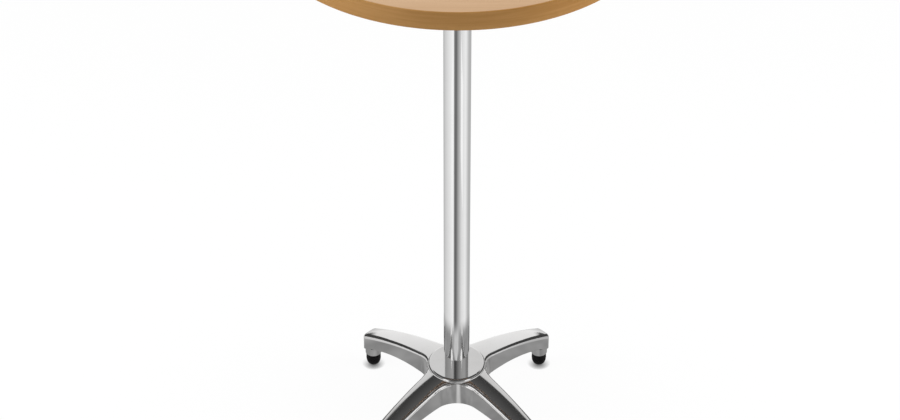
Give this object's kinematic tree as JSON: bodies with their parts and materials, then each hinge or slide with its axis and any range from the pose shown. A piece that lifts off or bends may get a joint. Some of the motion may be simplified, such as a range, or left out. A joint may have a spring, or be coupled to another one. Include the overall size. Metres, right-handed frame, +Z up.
{
  "type": "pub table",
  "caption": "Tall round pub table: wood-look laminated top on a bright tube column, with a cast star base standing on black levelling feet.",
  "frame": {"origin": "on the floor, under the axis of the column", "axes": "+Z up along the column; -Y towards the front of the picture; the arms lie on the diagonals between X and Y"},
  "size_m": [0.6, 0.6, 1.05],
  "materials": {
    "beech_face": "matt beech-look laminate",
    "beech_edge": "matt wood-look edging strip, darker than the face",
    "backing_sheet": "plain backing laminate",
    "chipboard": "raw chipboard",
    "polished_aluminium": "mirror-polished casting",
    "bright_tube": "polished drawn tube",
    "cast_aluminium": "as-cast, tumbled",
    "zinc_steel": "zinc plated",
    "black_rubber": "semi-gloss black rubber"
  },
  "bodies": {
    "table": {"top_core": "chipboard", "top_laminate": "beech_face", "underside_laminate": "backing_sheet", "edge_band": "beech_edge", "top_spider": "cast_aluminium", "spider_screws": "zinc_steel", "rod_top_washer": "zinc_steel", "rod_top_nut": "zinc_steel", "column_tube": "bright_tube", "tie_rod": "zinc_steel", "base_casting": "polished_aluminium", "rod_plate_washer": "zinc_steel", "rod_spring_washer": "zinc_steel", "rod_bottom_nut": "zinc_steel"},
    "rear_right_stud": {"foot_stud_rear_right": "zinc_steel"},
    "rear_right_pad": {"foot_pad_rear_right": "black_rubber"},
    "rear_left_stud": {"foot_stud_rear_left": "zinc_steel"},
    "rear_left_pad": {"foot_pad_rear_left": "black_rubber"},
    "front_left_stud": {"foot_stud_front_left": "zinc_steel"},
    "front_left_pad": {"foot_pad_front_left": "black_rubber"},
    "front_right_stud": {"foot_stud_front_right": "zinc_steel"},
    "front_right_pad": {"foot_pad_front_right": "black_rubber"}
  },
  "joints": [
    {"name": "rear_right_lift", "type": "slide", "parent": "table", "child": "rear_right_stud", "axis": [0, 0, -1], "range_m": [0, 0.01]},
    {"name": "rear_right_turn", "type": "hinge", "parent": "rear_right_stud", "child": "rear_right_pad", "pos_m": [0.15344, 0.15344, 0], "axis": [0, 0, -1], "range_deg": [0, 2880]},
    {"name": "rear_left_lift", "type": "slide", "parent": "table", "child": "rear_left_stud", "axis": [0, 0, -1], "range_m": [0, 0.01]},
    {"name": "rear_left_turn", "type": "hinge", "parent": "rear_left_stud", "child": "rear_left_pad", "pos_m": [-0.15344, 0.15344, 0], "axis": [0, 0, -1], "range_deg": [0, 2880]},
    {"name": "front_left_lift", "type": "slide", "parent": "table", "child": "front_left_stud", "axis": [0, 0, -1], "range_m": [0, 0.01]},
    {"name": "front_left_turn", "type": "hinge", "parent": "front_left_stud", "child": "front_left_pad", "pos_m": [-0.15344, -0.15344, 0], "axis": [0, 0, -1], "range_deg": [0, 2880]},
    {"name": "front_right_lift", "type": "slide", "parent": "table", "child": "front_right_stud", "axis": [0, 0, -1], "range_m": [0, 0.01]},
    {"name": "front_right_turn", "type": "hinge", "parent": "front_right_stud", "child": "front_right_pad", "pos_m": [0.15344, -0.15344, 0], "axis": [0, 0, -1], "range_deg": [0, 2880]}
  ],
  "couplings": [
    {"joint": "rear_right_turn", "follows": "rear_right_lift", "rad_per_m": 5026.5},
    {"joint": "rear_left_turn", "follows": "rear_left_lift", "rad_per_m": 5026.5},
    {"joint": "front_left_turn", "follows": "front_left_lift", "rad_per_m": 5026.5},
    {"joint": "front_right_turn", "follows": "front_right_lift", "rad_per_m": 5026.5}
  ]
}
